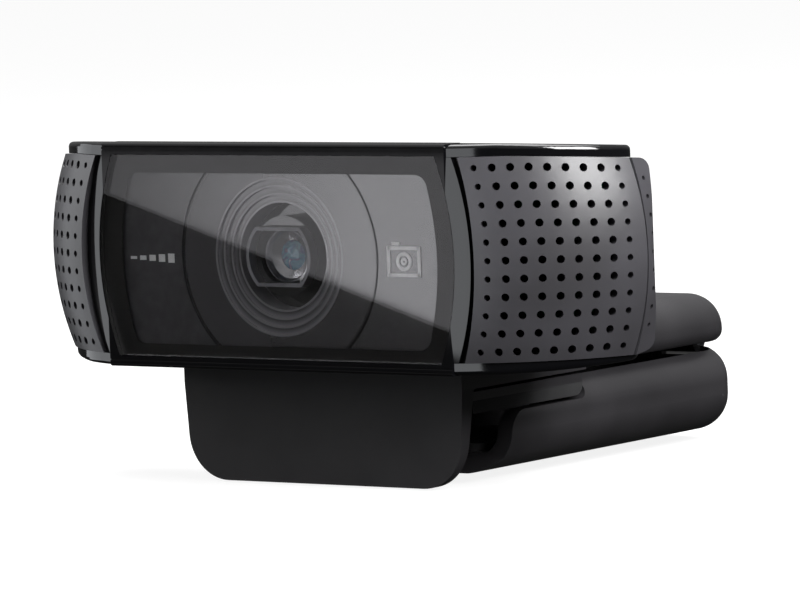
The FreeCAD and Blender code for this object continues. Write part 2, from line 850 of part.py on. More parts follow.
def housing_form(label, front, inset):
    """The rear shell's outer form, moved inwards: bowed sides, bevelled corners, tapering rear."""
    half, tall, back = HEAD_SIDE - inset, CORE_HALF - inset, S["head_depth"] - inset
    behind = depth(back)
    ahead = depth(S["seam_depth"] - 3)
    bowed = slab(label + "_bowed", "XZ", front, behind, draw_bowed, half, tall, tall)
    plan = slab(label + "_plan", "XY", level(-tall), level(tall), draw_outline,
                both_sides([(half, ahead)] + rear_corners(inset, 0)))
    seam, taper = depth(S["seam_depth"]), S["rear_taper"]
    side = slab(label + "_side", "YZ", -half, half, draw_outline, [
        (ahead, level(-tall)), (seam, level(-tall)), (behind, level(taper - tall)),
        (behind, level(tall - S["top_fall"])), (ahead, level(tall - top_drop(S["seam_depth"] - 3)))])
    return overlap(label, [bowed, plan, side])


def make_rear_housing():
    """Rear shell with the tilt bracket's and the cable gland's holes, and screw sleeves."""
    front = depth(S["seam_depth"] + S["shell_gap"])
    wall = S["housing_wall"]
    inside = depth(S["head_depth"]) - wall
    shell = housing_form("rear_form", front, 0)
    cavity = housing_form("rear_cavity", front - 1, wall)
    sleeves = [rod("Y", x, depth(SLEEVE_END), level(z), SLEEVE_RADIUS, inside - depth(SLEEVE_END) + 0.2)
               for x, z in HOUSING_SCREWS]
    back = depth(S["head_depth"])
    rounded_shell = soften("rear_rounded", shell, S["housing_wall"] * 0.8,
                           lambda middle, ends: near(middle.y, back) and abs(ends.x) > HEAD_SIDE.value)
    blank = remove("rear_blank", rounded_shell, [cavity])
    tools = []
    for x, z in HOUSING_SCREWS:
        tools.append(rod("Y", x, depth(SLEEVE_END) - 1, level(z), 1.15, S["head_depth"]))
        tools.append(rod("Y", x, depth(HOUSING_HEAD), level(z), 2.1, 3))
    tools.append(rod("Y", GLAND[0], inside - 1, level(GLAND[1]), GLAND_NECK, wall + 2))
    for x in (-BRACKET_SCREW, BRACKET_SCREW):
        tools.append(rod("Y", x, inside - 1, level(BRACKET_LEVEL), 0.8, wall + 2))
    pitch, rows = S["hole_pitch"], int(S["hole_rows"].value)
    for row in range(1, rows - 1):
        height = pitch * (row - (rows - 1) / 2)
        tools.append(rod("X", -HEAD_SIDE - 1, depth(S["seam_depth"] + 1.3), level(height),
                         S["vent_radius"], HEAD_SIDE * 2 + 2))
    keep(remove("rear_housing", merge("rear_sleeved", [blank] + sleeves), tools))


# ---------------------------------------------------------------- head: inside
def four(x, z):
    """Four places, one in each quarter of the front view."""
    return [(side * x, rise * z) for side in (-1, 1) for rise in (-1, 1)]


POST_LEVEL = INSIDE_HALF - S["post_room"]
HOUSING_SCREWS = four(HEAD_SIDE - 21.4, POST_LEVEL)
BOARD_SCREWS = four(HEAD_SIDE - 19.4, POST_LEVEL - S["post_gap"])
SENSOR_SCREWS = [(-12.4, 0.0), (12.4, 0.0)]
SLEEVE_END = 20.0
SLEEVE_RADIUS = 2.6
HOUSING_HEAD = 22.6
GLAND = (HEAD_SIDE - 16.4, -2.5)
GLAND_NECK = 2.6
BRACKET_SCREW = 5.0
BRACKET_LEVEL = -7.4
CHASSIS_BACK = 5.0
BOARD_FRONT = S["main_board_front"]
BOARD_BACK = BOARD_FRONT + S["main_board_thickness"]
MICROPHONE_SIDE = HEAD_SIDE - 11.4
GUIDE_HALF = 0.5
GUIDE_LEVELS = (-3.2, -1.9)


def make_chassis():
    """Moulded plate behind the bezel that carries the boards on posts."""
    front = depth(S["bezel_depth"] + S["shell_gap"])
    body = slab("chassis_plate", "XZ", front, depth(CHASSIS_BACK), draw_bowed,
                BEZEL_HALF - 1.0, CORE_HALF - 0.5, CORE_HALF - 0.5)
    pocket(body, "XZ", front, depth(CHASSIS_BACK), draw_circle, 0, AXIS_LEVEL, S["tunnel_radius"] + 0.2)
    posts, bores = [], []
    for spots, radius, end, bore, cut in ((HOUSING_SCREWS, 2.4, SLEEVE_END - 0.05, 0.9, 7.0),
                                          (BOARD_SCREWS, 2.2, BOARD_FRONT, 0.8, 6.5),
                                          (SENSOR_SCREWS, 1.9, S["focus_end"] + 0.1, 0.7, 4.0)):
        for x, z in spots:
            tip = depth(end)
            posts.append(rod("Y", x, front + 0.5, level(z), radius, tip - front - 0.5))
            bores.append(rod("Y", x, tip - cut, level(z), bore, cut + 0.5))
    room = 0.2
    for side in (1, -1):
        x = side * S["disc_radius"]
        bores.append(block((x - GUIDE_HALF - room, front - 1, level(GUIDE_LEVELS[0] - room)),
                           (x + GUIDE_HALF + room, depth(CHASSIS_BACK + 1), level(GUIDE_LEVELS[1] + room))))
    keep(remove("chassis", merge("chassis_posts", [body] + posts), bores))


def make_screws():
    """Groups of identical fasteners."""
    groups = (
        ("housing_screws", HOUSING_SCREWS, depth(HOUSING_HEAD), 2.0, 1.2, 0.9, 9.0),
        ("board_screws", BOARD_SCREWS, depth(BOARD_BACK), 1.6, 1.1, 0.8, 6.0),
        ("sensor_screws", SENSOR_SCREWS, depth(S["focus_end"] + 0.1 + S["board_thickness"]),
         1.3, 0.25, 0.7, 4.0),
        ("bracket_screws", [(-BRACKET_SCREW, BRACKET_LEVEL), (BRACKET_SCREW, BRACKET_LEVEL)],
         depth(S["head_depth"] + 1.4), 1.6, 0.9, 0.8, 4.4),
    )
    for label, spots, seat, head, tall, shank, length in groups:
        keep(gather(label, [screw(x, seat, level(z), head, tall, shank, length) for x, z in spots]))


def make_lens():
    """Barrel, glass and the focus drive that slides them along the lens axis."""
    radius, glass = S["barrel_radius"], S["glass_radius"]
    front, back = depth(S["barrel_front"]), depth(S["barrel_end"])
    seat, stop = depth(S["glass_depth"]), depth(S["glass_depth"] + 1.4)
    rear = back - 1.3
    keep(turned("lens_barrel", [
        (radius - 0.3, front), (radius, front + 0.3), (radius, back), (glass + 0.3, back),
        (glass + 0.3, rear), (glass - 0.5, rear), (glass - 0.5, stop), (glass, stop),
        (glass, seat), (S["cone_radius"], depth(S["cone_depth"])), (radius - 0.35, front)]))
    keep(turned("front_lens", [
        (0, seat - 0.25), (glass * 0.55, seat - 0.17), (glass - 0.01, seat + 0.1),
        (glass - 0.01, stop), (0, stop)]))
    keep(turned("rear_lens", [
        (0, rear), (glass + 0.29, rear), (glass + 0.29, back - 0.2), (0, back - 0.05)]))
    low, high = depth(7.7), depth(10.9)
    wall = S["carrier_wall"]
    keep(turned("focus_carrier", [
        (radius, low), (radius + wall, low), (radius + wall, high), (radius, high)]))
    keep(turned("focus_coil", [
        (radius + wall, low + 0.4), (radius + wall + S["coil_wall"], low + 0.4),
        (radius + wall + S["coil_wall"], high - 0.4), (radius + wall, high - 0.4)]))


def make_focus_housing():
    half, wall = FOCUS_HALF, S["focus_wall"]
    front, back = depth(S["tunnel_end"] + 0.1), depth(S["focus_end"])
    body = slab("focus_housing", "XZ", front, back, draw_outline, square(half, 0.8))
    pocket(body, "XZ", front + wall, back, draw_outline, square(half - wall, 0.4))
    bore = S["barrel_radius"] + S["lens_clearance"]
    pocket(body, "XZ", front, front + wall, draw_circle, 0, AXIS_LEVEL, bore)
    keep(body)
    inner, magnet = half - wall, S["magnet_thickness"]
    bars = []
    for side in (1, -1):
        near_edge, far_edge = side * (inner - magnet), side * inner
        low, high = (near_edge, far_edge) if side > 0 else (far_edge, near_edge)
        bars.append(block((low, depth(7.9), level(-3.0)), (high, depth(10.7), level(3.0))))
        bars.append(block((-3.0, depth(7.9), level(low)), (3.0, depth(10.7), level(high))))
    keep(gather("focus_magnets", bars))
    leaves = []
    for place_y in (7.1, 11.4):
        leaf = slab("leaf", "XZ", depth(place_y), depth(place_y + 0.1), draw_outline, square(inner, 0.4))
        pocket(leaf, "XZ", depth(place_y), depth(place_y + 0.1), draw_circle, 0, AXIS_LEVEL,
               bore + 0.1)
        leaves.append(leaf)
    keep(gather("focus_springs", leaves))


def square(half, radius):
    return [(-half, level(-half), radius), (half, level(-half), radius),
            (half, level(half), radius), (-half, level(half), radius)]


def oblong(half_x, half_z, radius):
    return [(-half_x, level(-half_z), radius), (half_x, level(-half_z), radius),
            (half_x, level(half_z), radius), (-half_x, level(half_z), radius)]


def make_boards():
    front = depth(S["focus_end"] + 0.1)
    back = front + S["board_thickness"]
    body = slab("sensor_board", "XZ", front, back, draw_outline, oblong(14.0, 6.2, 1.0))
    for x, z in SENSOR_SCREWS:
        pocket(body, "XZ", front, back, draw_circle, x, level(z), 0.75)
    keep(body)
    keep(block_node("image_sensor", (-3.2, front - 0.6, level(-2.6)), (3.2, front, level(2.6))))
    body = slab("main_board", "XZ", depth(BOARD_FRONT), depth(BOARD_BACK), draw_outline,
                oblong(INSIDE_SIDE - S["board_gap"], INSIDE_HALF - S["board_room"], 1.5))
    for x, z in HOUSING_SCREWS:
        pocket(body, "XZ", depth(BOARD_FRONT), depth(BOARD_BACK), draw_circle, x, level(z), 2.6)
    for x, z in BOARD_SCREWS:
        pocket(body, "XZ", depth(BOARD_FRONT), depth(BOARD_BACK), draw_circle, x, level(z), 0.9)
    keep(body)
    chip_back = BOARD_BACK + 1.1
    keep(block_node("video_processor", (-5, depth(BOARD_BACK), level(-5)), (5, depth(chip_back), level(5))))
    can = slab("board_shield", "XZ", depth(BOARD_BACK), depth(BOARD_BACK + 2.4), draw_outline,
               oblong(13.0, 8.5, 1.0))
    pocket(can, "XZ", depth(BOARD_BACK), depth(BOARD_BACK + 2.1), draw_outline, oblong(12.7, 8.2, 0.7))
    keep(can)
    socket = GLAND[0] + 1
    keep(block_node("cable_socket", (socket, depth(BOARD_BACK), level(-4.5)),
                    (socket + 5, depth(BOARD_BACK + 3.4), level(-0.5))))


def block_node(label, low, high):
    item = block(low, high)
    item.Label = label
    return item


def make_lights():
    """Status lights on the board and the clear guides that carry them to the seam of the surround."""
    guides, lamps = [], []
    for side in (1, -1):
        x = side * S["disc_radius"]
        guides.append(block((x - GUIDE_HALF, depth(S["plate_depth"] + S["plate_thickness"] + 0.05),
                             level(GUIDE_LEVELS[0])),
                            (x + GUIDE_HALF, depth(BOARD_FRONT - 0.9), level(GUIDE_LEVELS[1]))))
        lamps.append(block((x - 0.8, depth(BOARD_FRONT - 0.8), level(-3.0)),
                           (x + 0.8, depth(BOARD_FRONT), level(-2.1))))
    keep(gather("light_guides", guides))
    keep(gather("status_lights", lamps))


def make_microphones():
    boots, capsules = [], []
    for side in (1, -1):
        x = side * MICROPHONE_SIDE
        tube = rod("Y", x, depth(6.6), level(0), 3.2, BOARD_FRONT - 6.6)
        boots.append(remove("boot", tube, [rod("Y", x, depth(6.0), level(0), 2.1, BOARD_FRONT)]))
        capsules.append(rod("Y", x, depth(7.4), level(0), 2.1, 2.4))
    keep(gather("microphone_boots", boots))
    keep(gather("microphones", capsules))


def make_gland():
    """Rubber cable inlet in the rear shell."""
    x, z = GLAND
    inside = S["head_depth"] - S["housing_wall"]
    parts = [rod("Y", x, depth(inside - 1.2), level(z), GLAND_NECK + 1.0, 1.1),
             rod("Y", x, depth(inside - 0.2), level(z), GLAND_NECK, S["housing_wall"] + 0.3),
             rod("Y", x, depth(S["head_depth"]), level(z), GLAND_NECK + 0.7, 2.6)]
    bore = rod("Y", x, depth(inside - 3), level(z), 1.9, 12)
    keep(remove("cable_gland", merge("gland_blank", parts), [bore]))


# ---------------------------------------------------------------- tilt hinge
TILT_Y = depth(S["tilt_setback"])
TILT_Z = level(-S["tilt_drop"])


def make_tilt_hinge():
    back, knuckle, half = depth(S["head_depth"]), S["knuckle_radius"], S["knuckle_half"]
    leaf = block((-half, back, level(S["rear_taper"] + 0.2 - CORE_HALF)), (half, back + 1.4, level(-4.6)))
    neck = block((-half, back + 1.0, TILT_Z - knuckle + 0.2), (half, TILT_Y, TILT_Z + knuckle - 0.2))
    barrel = rod("X", -half, TILT_Y, TILT_Z, knuckle, half * 2)
    bore = rod("X", -half - 1, TILT_Y, TILT_Z, S["tilt_pin_radius"] + S["pin_clearance"], half * 2 + 2)
    holes = [rod("Y", x, back - 1, level(BRACKET_LEVEL), 0.9, 4) for x in (-BRACKET_SCREW, BRACKET_SCREW)]
    keep(remove("tilt_bracket", merge("bracket_blank", [leaf, neck, barrel]), [bore] + holes))
    reach = half + S["washer_gap"] + S["lug_width"]
    keep_rod("tilt_pin", rod("X", -reach, TILT_Y, TILT_Z, S["tilt_pin_radius"], reach * 2))
    rings = []
    for start in (half + 0.02, -half - S["washer_gap"] + 0.02):
        outer = rod("X", start, TILT_Y, TILT_Z, knuckle - 0.1, S["washer_gap"] - 0.04)
        hole = rod("X", start - 1, TILT_Y, TILT_Z, S["tilt_pin_radius"], S["washer_gap"] + 2)
        rings.append(remove("washer", outer, [hole]))
    keep(gather("tilt_washers", rings))


def keep_rod(label, item):
    item.Label = label
    return keep(item)


# ---------------------------------------------------------------- clip
SHELF_TOP = level(-HEAD_HALF - S["shelf_gap"])
SHELF_BOTTOM = SHELF_TOP - S["shelf_thickness"]
LEG_TOP = S["leg_lift"] + S["leg_height"]
ARM_BOTTOM = LEG_TOP + S["leg_gap"]
LEG_PIVOT_Y = HALF_DEPTH - S["leg_pivot_inset"]
LEG_PIVOT_Z = LEG_TOP + S["leg_gap"] / 2
CLIP_KNUCKLES = [(-16.5, -11.0), (-5.0, 5.0), (11.0, 16.5)]
LEG_KNUCKLES = [(-10.7, -5.3), (5.3, 10.7)]


def make_clip_base():
    """Lip, shelf and rear arm in one moulding, with the lugs of both hinges."""
    lip_front = depth(S["lip_setback"])
    lip_top, lip_tip = lip_front + S["lip_thickness"], lip_front + S["lip_tip"]
    rear = HALF_DEPTH - S["arm_setback"]
    arm_top = ARM_BOTTOM + S["arm_height"]
    arm_front = depth(S["arm_front"])
    step = depth(S["tab_end"] + 0.5)
    half = CLIP_HALF
    moulding = slab("clip_moulding", "YZ", -half, half, draw_outline, [
        (lip_front, 0), (lip_tip, 0), (lip_tip, S["lip_taper_end"]), (lip_top, SHELF_BOTTOM, 0.4),
        (step, SHELF_BOTTOM), (step, SHELF_TOP), (lip_front, SHELF_TOP)])
    for side in (1, -1):
        foot, wide = side * (half - S["lip_narrowing"]), side * (half + 1)
        pocket(moulding, "XZ", lip_front, lip_top, draw_outline,
               [(foot, 0), (side * half, SHELF_BOTTOM), (wide, SHELF_BOTTOM), (wide, 0)])
    fillet(moulding, S["lip_round"], lambda middle, ends: near(middle.z, 0) and abs(ends.y) > 1)
    plan_round = S["arm_side_round"] + 0.2
    body = slab("arm_moulding", "XY", ARM_BOTTOM, arm_top, draw_outline, [
        (-half, arm_front), (half, arm_front), (half, rear, plan_round), (-half, rear, plan_round)])
    front_edge = arm_front.value + 0.1
    fillet(body, S["arm_side_round"], lambda middle, ends: near(middle.z, arm_top) and middle.y > front_edge)
    heel = rear.value - plan_round.value
    fillet(body, S["arm_heel_round"], lambda middle, ends: near(middle.z, ARM_BOTTOM) and middle.y > heel)
    hollow_front, hollow_back = depth(S["tab_end"] + 3.5), LEG_PIVOT_Y - 8.0
    inner = half - S["arm_wall"] - 1.0
    plate = 1.2
    pocket(body, "XY", ARM_BOTTOM, arm_top - S["arm_wall"], draw_outline,
           rounded(-inner + 2, hollow_front + 2, inner - 2, hollow_back - 2, 3.0))
    pocket(body, "XY", ARM_BOTTOM, ARM_BOTTOM + plate, draw_outline,
           rounded(-inner, hollow_front, inner, hollow_back, 3.0))
    fit = 0.1
    cover = slab("arm_plate_blank", "XY", ARM_BOTTOM, ARM_BOTTOM + plate - 0.02, draw_outline,
                 rounded(-inner + fit, hollow_front + fit, inner - fit, hollow_back - fit, 3.0))
    posts, bores, screws, holes = [], [], [], []
    for x in (-12.0, 12.0):
        for y in (hollow_front + 5, hollow_back - 5):
            top = arm_top - S["arm_wall"]
            posts.append(rod("Z", x, y, ARM_BOTTOM + plate, 2.0, top - ARM_BOTTOM - plate + 0.1))
            bores.append(rod("Z", x, y, ARM_BOTTOM + plate - 0.5, 0.7, 4.0))
            head = rod("Z", x, y, ARM_BOTTOM + 0.1, 1.4, 0.7)
            screws.append(merge("arm_screw", [head, rod("Z", x, y, ARM_BOTTOM + 0.7, 0.7, 3.6)]))
            holes.append(rod("Z", x, y, ARM_BOTTOM - 0.5, 1.5, 1.3))
            holes.append(rod("Z", x, y, ARM_BOTTOM - 0.5, 0.8, 3))
    lugs = []
    knuckle, gap = S["knuckle_radius"], S["knuckle_half"] + S["washer_gap"]
    for start in (gap, -gap - S["lug_width"]):
        lugs.append(rod("X", start, TILT_Y, TILT_Z, knuckle, S["lug_width"]))
        lugs.append(block((start, TILT_Y - knuckle, SHELF_TOP - 0.5),
                          (start + S["lug_width"], TILT_Y + knuckle, TILT_Z)))
    for low, high in CLIP_KNUCKLES:
        lugs.append(rod("X", low, LEG_PIVOT_Y, LEG_PIVOT_Z, S["leg_barrel"], high - low))
    pockets = [rod("X", low - 0.3, LEG_PIVOT_Y, LEG_PIVOT_Z, S["leg_barrel"] + 0.35, high - low + 0.6)
               for low, high in LEG_KNUCKLES]
    pin_bores = [rod("X", -half - 1, LEG_PIVOT_Y, LEG_PIVOT_Z, S["leg_pin_radius"], half * 2 + 2),
                 rod("X", -half - 1, TILT_Y, TILT_Z, S["tilt_pin_radius"], half * 2 + 2)]
    blank = remove("clip_pocketed", merge("clip_posts", [moulding, body] + posts), pockets)
    keep(remove("clip_base", merge("clip_lugs", [blank] + lugs), pin_bores + bores))
    keep(remove("arm_plate", cover, holes))
    keep(gather("arm_screws", screws))
    keep_rod("leg_pin", rod("X", -S["leg_hinge_half"], LEG_PIVOT_Y, LEG_PIVOT_Z,
                            S["leg_pin_radius"], S["leg_hinge_half"] * 2))


def rounded(x_low, y_low, x_high, y_high, radius):
    return [(x_low, y_low, radius), (x_high, y_low, radius),
            (x_high, y_high, radius), (x_low, y_high, radius)]


def make_clip_pads():
    """Rubber faces of the clip: one behind the lip, one under the shelf on its carrier."""
    lip_front = depth(S["lip_setback"])
    tip = lip_front + S["lip_tip"]
    slope = (S["lip_thickness"] - S["lip_tip"]) / (SHELF_BOTTOM - S["lip_taper_end"])
    top = SHELF_BOTTOM - S["tab_gap"] - S["tab_carrier"] - S["tab_rubber"] - 0.4
    rise = slope * (top - S["lip_taper_end"])
    keep(slab("lip_pad", "YZ", -16.0, 16.0, draw_outline, [
        (tip, 1.2), (tip + 0.6, 1.2), (tip + 0.6, S["lip_taper_end"]), (tip + 0.6 + rise, top),
        (tip + rise, top), (tip, S["lip_taper_end"])]))
    start = lip_front + S["lip_thickness"] + 0.05
    end = depth(S["tab_end"])
    half = CLIP_HALF - 0.3
    high = SHELF_BOTTOM - S["tab_gap"]
    seam = high - S["tab_carrier"]
    low = seam - S["tab_rubber"]
    carrier = slab("carrier_blank", "XY", seam, high, draw_outline,
                   [(-half, start), (half, start), (half, end), (-half, end)])
    studs = [rod("Z", x, y, high - 0.3, 1.6, S["tab_gap"] + 0.3)
             for x in (-14.0, 14.0) for y in (start + 5, end - 5)]
    keep(merge("pad_carrier", [carrier] + studs))
    pad_body = slab("shelf_pad", "YZ", -half, half, draw_outline,
                    [(start, low), (end, low, 1.4), (end, seam), (start, seam)])
    keep(pad_body)


# ---------------------------------------------------------------- leg
def make_leg():
    """Folding leg: a channel with a heel hinge, a rubber liner and a tripod thread."""
    nose, step, heel = depth(S["leg_nose"]), depth(S["leg_step"]), HALF_DEPTH
    floor, half, wall = S["leg_lift"], CLIP_HALF, S["leg_wall"]
    ledge = LEG_TOP - S["leg_ledge"]
    body = slab("leg_solid", "YZ", -half, half, draw_outline, [
        (nose, floor), (heel, floor, S["leg_round"]), (heel, LEG_TOP, S["leg_heel_round"]),
        (step, LEG_TOP), (step, ledge, 1.3), (nose + 4.0, ledge, 3.0), (nose + 3.0, floor + 1.7, 0.6)])

    def long_edge(middle, ends):
        edge = abs(abs(middle.x) - half.value) < 0.02
        low = middle.z < floor.value + 1.3 and middle.y > nose.value + 3
        rear = middle.y > heel.value - 1.5 and middle.z < LEG_TOP.value - 3
        return edge and (low or rear)

    fillet(body, S["leg_round"], long_edge)
    inner = half - wall
    channel = slab("leg_channel", "XY", floor + wall, LEG_TOP + 1, draw_outline,
                   rounded(-inner, nose - 6, inner, heel - wall, S["leg_round"] - wall))
    fillet(channel, S["leg_round"] - wall - 0.1,
           lambda middle, ends: near(middle.z, floor + wall) and middle.y > nose.value - 5)
    hub_y = depth(S["insert_setback"])
    hub_top = floor + S["insert_length"]
    hub = rod("Z", 0, hub_y, floor + 0.5, S["insert_radius"] + 1.5, S["insert_length"] - 0.5)
    knuckles = [rod("X", low, LEG_PIVOT_Y, LEG_PIVOT_Z, S["leg_barrel"], high - low)
                for low, high in LEG_KNUCKLES]
    webs = [block((low, heel - wall, LEG_TOP - 4), (high, LEG_PIVOT_Y + 0.9, LEG_PIVOT_Z))
            for low, high in LEG_KNUCKLES]
    clear = [rod("X", low - 0.3, LEG_PIVOT_Y, LEG_PIVOT_Z, S["leg_barrel"] + 0.35, high - low + 0.6)
             for low, high in CLIP_KNUCKLES]
    bore = rod("X", -half - 1, LEG_PIVOT_Y, LEG_PIVOT_Z, S["leg_pin_radius"] + S["pin_clearance"],
               half * 2 + 2)
    hole = rod("Z", 0, hub_y, floor - 1, S["insert_radius"], S["insert_length"] + 3)
    hollow = remove("leg_hollow", body, [channel])
    trimmed = remove("leg_trimmed", hollow, clear)
    keep(remove("leg_shell", merge("leg_joined", [trimmed, hub] + knuckles + webs), [hole, bore]))
    sleeve = rod("Z", 0, hub_y, floor, S["insert_radius"], S["insert_length"])
    thread = rod("Z", 0, hub_y, floor - 1, S["insert_bore"], S["insert_length"] + 2)
    keep(remove("tripod_insert", sleeve, [thread]))
    fit = 0.2
    liner = slab("liner_blank", "XY", floor + wall, floor + wall + 1.0, draw_outline,
                 rounded(-inner + 3, nose + 4, inner - 3, heel - wall - 3, 2.0))
    opening = rod("Z", 0, hub_y, floor, S["insert_radius"] + 1.5 + fit, hub_top)
    keep(remove("leg_liner", liner, [opening]))


def build():
    make_bezel()
    make_window()
    make_face_plate()
    make_lens_disc()
    make_lens_ring()
    make_grilles()
    make_covers()
    make_rear_housing()
    make_chassis()
    make_lens()
    make_focus_housing()
    make_boards()
    make_lights()
    make_microphones()
    make_gland()
    make_tilt_hinge()
    make_screws()
    make_clip_base()
    make_clip_pads()
    make_leg()


def check_and_write():
    """Stops on any failed object, then writes each node to its own file."""
    DOC.recompute()
    for item in DOC.Objects:
        if "Invalid" in item.State or "Error" in item.State:
            raise RuntimeError("failed object: " + item.Name + " " + str(item.State))
    os.makedirs("parts", exist_ok=True)
    for item in NODES:
        shape = item.Shape
        if shape.isNull() or not shape.isValid() or not shape.Solids:
            raise RuntimeError("bad shape: " + item.Label)
    for item in NODES:
        item.Shape.exportStep("parts/" + item.Label + ".step")
        box = item.Shape.BoundBox
        print("%-18s solids %d volume %9.2f  x %.2f %.2f  y %.2f %.2f  z %.2f %.2f" % (
            item.Label, len(item.Shape.Solids), item.Shape.Volume, box.XMin, box.XMax,
            box.YMin, box.YMax, box.ZMin, box.ZMax))


build()
check_and_write()
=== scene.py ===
"""Looks of the webcam: stage, camera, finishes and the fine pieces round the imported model."""
import bpy
import bmesh
import math
from mathutils import Matrix, Vector


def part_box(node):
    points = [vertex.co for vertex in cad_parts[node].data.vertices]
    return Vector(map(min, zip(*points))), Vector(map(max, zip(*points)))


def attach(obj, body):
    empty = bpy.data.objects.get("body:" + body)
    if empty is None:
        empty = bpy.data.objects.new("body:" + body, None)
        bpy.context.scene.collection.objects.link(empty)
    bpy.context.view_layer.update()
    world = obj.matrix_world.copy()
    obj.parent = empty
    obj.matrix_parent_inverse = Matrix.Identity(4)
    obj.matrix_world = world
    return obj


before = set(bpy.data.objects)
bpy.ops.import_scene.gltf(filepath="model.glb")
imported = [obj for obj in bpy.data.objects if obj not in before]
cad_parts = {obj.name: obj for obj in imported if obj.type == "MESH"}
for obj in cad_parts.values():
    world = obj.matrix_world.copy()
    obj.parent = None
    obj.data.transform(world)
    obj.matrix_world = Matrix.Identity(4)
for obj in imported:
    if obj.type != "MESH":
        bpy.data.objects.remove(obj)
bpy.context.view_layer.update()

MM = 0.001


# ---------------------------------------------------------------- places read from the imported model
def low_high(node):
    low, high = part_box(node)
    return Vector(low), Vector(high)


WINDOW_LOW, WINDOW_HIGH = low_high("window_pane")
PLATE_LOW, PLATE_HIGH = low_high("face_plate")
AXIS_Z = (WINDOW_LOW.z + WINDOW_HIGH.z) / 2
DISC_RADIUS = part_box("lens_disc")[1][0]

SIDE_BOW = 34.5 * MM                                # radius of the head's bowed sides
RINGS = [radius * MM for radius in (9.66, 8.66, 7.66, 6.67)]    # steps round the lens, outermost first
HAIR = 0.02 * MM                                    # gap that keeps a printed layer off its neighbour


# ---------------------------------------------------------------- camera, light and stage
def make_camera():
    """Long lens from the front right, a little above, with the horizon slightly tipped."""
    place = Vector((0.46957, -0.64413, 0.08907))
    azimuth, dip, tip = math.radians(36.5), math.radians(4.888), math.radians(2.284)
    across = Vector((math.cos(azimuth), math.sin(azimuth), 0))
    ahead = Vector((-math.sin(azimuth) * math.cos(dip), math.cos(azimuth) * math.cos(dip), -math.sin(dip)))
    above = across.cross(ahead)
    right = across * math.cos(tip) - above * math.sin(tip)
    up = across * math.sin(tip) + above * math.cos(tip)
    data = bpy.data.cameras.new("camera")
    data.lens = 280.9
    data.sensor_width = 36.0
    data.clip_start = 0.01
    camera = bpy.data.objects.new("camera", data)
    turn = Matrix((right, up, -ahead)).transposed()
    camera.matrix_world = Matrix.Translation(place) @ turn.to_4x4()
    bpy.context.collection.objects.link(camera)
    bpy.context.scene.camera = camera
    return place


def linear(code, alpha=1.0):
    """An sRGB hex colour as linear values."""
    parts = [int(code[i:i + 2], 16) / 255 for i in (1, 3, 5)]
    return tuple(c / 12.92 if c <= 0.04045 else ((c + 0.055) / 1.055) ** 2.4 for c in parts) + (alpha,)


def add_node(tree, kind, settings=None, links=None):
    """Adds a node, sets its sockets and properties, and links sockets from (node, output) pairs."""
    node = tree.nodes.new(kind)
    for name, value in (settings or {}).items():
        if name in node.inputs and not hasattr(type(node), name):
            node.inputs[name].default_value = value
        else:
            setattr(node, name, value)
    for name, (source, output) in (links or {}).items():
        tree.links.new(source.outputs[output], node.inputs[name])
    return node


def area_light(name, place, aim, width, height, power):
    data = bpy.data.lights.new(name, "AREA")
    data.shape = "RECTANGLE"
    data.size, data.size_y = width, height
    data.energy = power
    light = bpy.data.objects.new(name, data)
    way = (Vector(aim) - Vector(place)).to_track_quat("-Z", "Y")
    light.matrix_world = Matrix.Translation(Vector(place)) @ way.to_matrix().to_4x4()
    light.visible_camera = False
    bpy.context.collection.objects.link(light)
    return light


def make_world():
    """Bright studio walls that darken towards the floor; the room itself shows as plain white."""
    world = bpy.data.worlds.new("studio")
    bpy.context.scene.world = world
    world.use_nodes = True
    tree = world.node_tree
    tree.nodes.clear()
    coordinates = add_node(tree, "ShaderNodeTexCoord")
    split = add_node(tree, "ShaderNodeSeparateXYZ", links={"Vector": (coordinates, "Generated")})
    ramp = add_node(tree, "ShaderNodeMapRange",
                    {"From Min": -0.1, "From Max": 0.9, "To Min": 0.03, "To Max": 0.55},
                    {"Value": (split, "Z")})
    dim = add_node(tree, "ShaderNodeBackground", {"Color": linear("#ffffff")}, {"Strength": (ramp, "Result")})
    white = add_node(tree, "ShaderNodeBackground", {"Color": linear("#ffffff"), "Strength": 1.0})
    path = add_node(tree, "ShaderNodeLightPath")
    mix = add_node(tree, "ShaderNodeMixShader", links={"Fac": (path, "Is Camera Ray")})
    tree.links.new(dim.outputs[0], mix.inputs[1])
    tree.links.new(white.outputs[0], mix.inputs[2])
    add_node(tree, "ShaderNodeOutputWorld", links={"Surface": (mix, "Shader")})


def make_floor():
    """Plain pale floor, wide enough to run out of every view."""
    mesh = bpy.data.meshes.new("floor")
    work = bmesh.new()
    bmesh.ops.create_grid(work, x_segments=1, y_segments=1, size=30.0)
    work.to_mesh(mesh)
    work.free()
    floor = bpy.data.objects.new("floor", mesh)
    bpy.context.collection.objects.link(floor)
    floor.location.z = -0.0002
    floor.visible_diffuse = False
    floor.visible_glossy = False
    floor.visible_transmission = False
    material = bpy.data.materials.new("pale_floor")
    material.use_nodes = True
    tree = material.node_tree
    tree.nodes.clear()
    shade = add_node(tree, "ShaderNodeBsdfPrincipled", {
        "Base Color": linear("#808080"), "Roughness": 0.9, "Specular IOR Level": 0.0,
        "Emission Color": linear("#ffffff"), "Emission Strength": 0.86})
    add_node(tree, "ShaderNodeOutputMaterial", links={"Surface": (shade, "BSDF")})
    mesh.materials.append(material)


